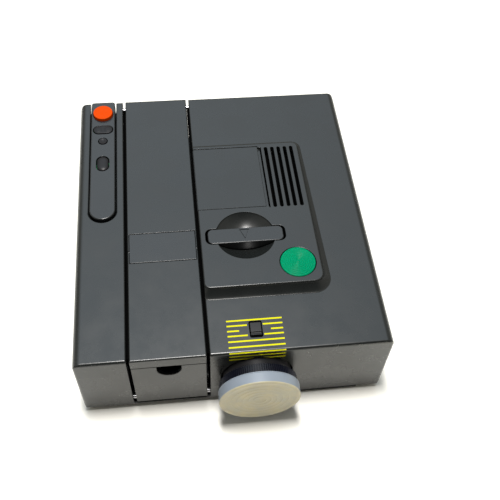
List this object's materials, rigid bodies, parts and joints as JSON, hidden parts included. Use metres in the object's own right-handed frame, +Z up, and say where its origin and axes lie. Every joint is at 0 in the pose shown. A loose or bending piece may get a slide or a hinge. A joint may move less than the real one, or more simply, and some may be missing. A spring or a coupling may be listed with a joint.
{
  "type": "slide projector",
  "caption": "Low, wide slide projector with a lidded magazine channel, raised lamp deck with lift-out condenser module, zoom lens and docked remote.",
  "frame": {"origin": "middle of the whole footprint, lens cap included, on the surface that the feet rest on", "axes": "+X to the right seen from the lens side, +Y towards the rear, +Z up; the lens points along -Y"},
  "size_m": [0.27, 0.333, 0.096],
  "materials": {
    "cover_plastic": "fine-grained charcoal moulding",
    "cover_plastic_light": "fine-grained charcoal moulding, slightly lighter",
    "black_plastic": "satin black",
    "green_button": "translucent green",
    "orange_button": "satin orange",
    "cap_plastic": "milky translucent",
    "white_nylon": "natural nylon",
    "steel": "bright",
    "mirror": "polished",
    "glass": "clear",
    "filter_glass": "pale green",
    "ceramic": "plain",
    "laminated_iron": "varnished laminations",
    "copper": "enamelled winding",
    "board": "green solder mask",
    "cell_wrap": "plain wrap",
    "rubber": "matte"
  },
  "bodies": {
    "root": {"base_tray": "cover_plastic_light", "left_cover": "cover_plastic", "right_cover": "cover_plastic", "rear_panel": "black_plastic", "trough_front": "cover_plastic", "trough_rear": "cover_plastic", "hinge_pins": "steel", "module_guide": "steel", "button_spring": "steel", "power_switch": "black_plastic", "rocker_bezel": "black_plastic", "lens_carrier": "steel", "focus_motor": "steel", "gate_frame": "steel", "changer_motor": "steel", "transport_motor": "steel", "lamp_house": "steel", "lamp_bulb": "glass", "lamp_socket": "ceramic", "reflector": "mirror", "rear_condenser": "glass", "fan_shroud": "black_plastic", "fan_motor": "steel", "transformer_core": "laminated_iron", "transformer_coil": "copper", "circuit_board": "board", "power_inlet": "black_plastic", "rubber_feet": "rubber", "case_screws": "steel"},
    "lid": {"channel_lid": "cover_plastic"},
    "hatch": {"hatch_flap": "cover_plastic_light"},
    "door": {"front_door": "cover_plastic"},
    "lamp_lid": {"lamp_cover": "cover_plastic"},
    "condenser_module": {"grip_bar": "cover_plastic_light", "module_frame": "black_plastic", "condenser_lens": "glass", "heat_filter": "filter_glass"},
    "power_key": {"power_button": "green_button"},
    "focus_switch": {"focus_rocker": "black_plastic"},
    "lens": {"lens_barrel": "black_plastic", "front_lens": "glass", "rear_lens": "glass"},
    "zoom": {"zoom_ring": "black_plastic"},
    "cap": {"lens_cap": "cap_plastic"},
    "focus_gear": {"focus_pinion": "white_nylon"},
    "changer": {"changer_arm": "white_nylon"},
    "idler": {"changer_idler": "white_nylon"},
    "changer_drive": {"changer_gear": "white_nylon"},
    "transport": {"transport_gear": "white_nylon"},
    "fan": {"fan_impeller": "black_plastic"},
    "remote": {"remote_top": "cover_plastic_light", "remote_bottom": "cover_plastic", "remote_board": "board", "remote_cell": "cell_wrap"},
    "forward_key": {"forward_button": "orange_button"},
    "focus_key": {"remote_rocker": "black_plastic"},
    "timer_key": {"timer_button": "black_plastic"},
    "select_key": {"select_button": "black_plastic"},
    "tilt_foot": {"level_foot": "rubber"},
    "tilt_screw": {"level_screw": "steel"}
  },
  "joints": [
    {"name": "lid_hinge", "type": "hinge", "parent": "root", "child": "lid", "pos_m": [-0.0565, 0.1605, 0.08], "axis": [-1, 0, 0], "range_deg": [0, 75]},
    {"name": "hatch_pivot", "type": "hinge", "parent": "lid", "child": "hatch", "pos_m": [-0.0565, -0.0302, 0.0854], "axis": [1, 0, 0], "range_deg": [0, 70]},
    {"name": "door_hinge", "type": "hinge", "parent": "root", "child": "door", "pos_m": [-0.0565, -0.1371, 0.013], "axis": [1, 0, 0], "range_deg": [0, 90]},
    {"name": "lamp_cover_lift", "type": "slide", "parent": "root", "child": "lamp_lid", "axis": [0, 0, 1], "range_m": [0, 0.06]},
    {"name": "condenser_module_lift", "type": "slide", "parent": "root", "child": "condenser_module", "axis": [0, 0, 1], "range_m": [0, 0.09]},
    {"name": "power_button_press", "type": "slide", "parent": "root", "child": "power_key", "axis": [0, 0, -1], "range_m": [0, 0.0025], "stiffness_N_per_m": 400, "springref_m": -0.001, "deforming": ["button_spring"]},
    {"name": "focus_rocker_tilt", "type": "hinge", "parent": "root", "child": "focus_switch", "pos_m": [0.0185, -0.1195, 0.086], "axis": [1, 0, 0], "range_deg": [-6, 6], "stiffness_Nm_per_rad": 0.2},
    {"name": "lens_focus", "type": "slide", "parent": "root", "child": "lens", "axis": [0, 1, 0], "range_m": [-0.01, 0.006]},
    {"name": "zoom_turn", "type": "hinge", "parent": "lens", "child": "zoom", "pos_m": [0.0188, -0.154, 0.046], "axis": [0, 1, 0], "range_deg": [-45, 45]},
    {"name": "lens_cap_pull", "type": "slide", "parent": "lens", "child": "cap", "axis": [0, -1, 0], "range_m": [0, 0.06]},
    {"name": "focus_pinion_turn", "type": "hinge", "parent": "root", "child": "focus_gear", "pos_m": [0.0578, -0.0955, 0.046], "axis": [0, 0, 1], "range_deg": [-58, 96]},
    {"name": "changer_stroke", "type": "slide", "parent": "root", "child": "changer", "axis": [1, 0, 0], "range_m": [0, 0.084]},
    {"name": "changer_idler_turn", "type": "hinge", "parent": "root", "child": "idler", "pos_m": [0.042, -0.06, 0.0112], "axis": [0, 0, 1], "range_deg": [-386, 1]},
    {"name": "changer_drive_turn", "type": "hinge", "parent": "root", "child": "changer_drive", "pos_m": [0.06669, -0.06391, 0.0112], "axis": [0, 0, 1], "range_deg": [-1, 386]},
    {"name": "transport_turn", "type": "hinge", "parent": "root", "child": "transport", "pos_m": [-0.098, -0.0075, 0.0225], "axis": [0, 0, 1], "continuous": true},
    {"name": "fan_turn", "type": "hinge", "parent": "root", "child": "fan", "pos_m": [0.084, 0.0465, 0.067], "axis": [0, 0, 1], "continuous": true},
    {"name": "remote_lift", "type": "slide", "parent": "root", "child": "remote", "axis": [0, 0, 1], "range_m": [0, 0.06]},
    {"name": "forward_key_press", "type": "slide", "parent": "remote", "child": "forward_key", "axis": [0, 0, -1], "range_m": [0, 0.0012], "stiffness_N_per_m": 400, "springref_m": -0.0005},
    {"name": "focus_key_rock", "type": "hinge", "parent": "remote", "child": "focus_key", "pos_m": [-0.111, 0.124, 0.085], "axis": [0, 1, 0], "range_deg": [-1.5, 1.5], "stiffness_Nm_per_rad": 0.1},
    {"name": "timer_key_press", "type": "slide", "parent": "remote", "child": "timer_key", "axis": [0, 0, -1], "range_m": [0, 0.0006], "stiffness_N_per_m": 400, "springref_m": -0.0005},
    {"name": "select_key_press", "type": "slide", "parent": "remote", "child": "select_key", "axis": [0, 0, -1], "range_m": [0, 0.001], "stiffness_N_per_m": 400, "springref_m": -0.0005},
    {"name": "tilt_foot_travel", "type": "slide", "parent": "root", "child": "tilt_foot", "axis": [0, 0, -1], "range_m": [0, 0.01]},
    {"name": "tilt_screw_turn", "type": "hinge", "parent": "tilt_foot", "child": "tilt_screw", "pos_m": [0.0775, -0.132, 0.01], "axis": [0, 0, 1], "range_deg": [-1, 1450]}
  ],
  "couplings": [
    {"joint": "focus_pinion_turn", "follows": "lens_focus", "rad_per_m": -166.67},
    {"joint": "changer_idler_turn", "follows": "changer_stroke", "rad_per_m": -80},
    {"joint": "changer_drive_turn", "follows": "changer_stroke", "rad_per_m": 80},
    {"joint": "tilt_screw_turn", "follows": "tilt_foot_travel", "rad_per_m": 2513.3}
  ]
}
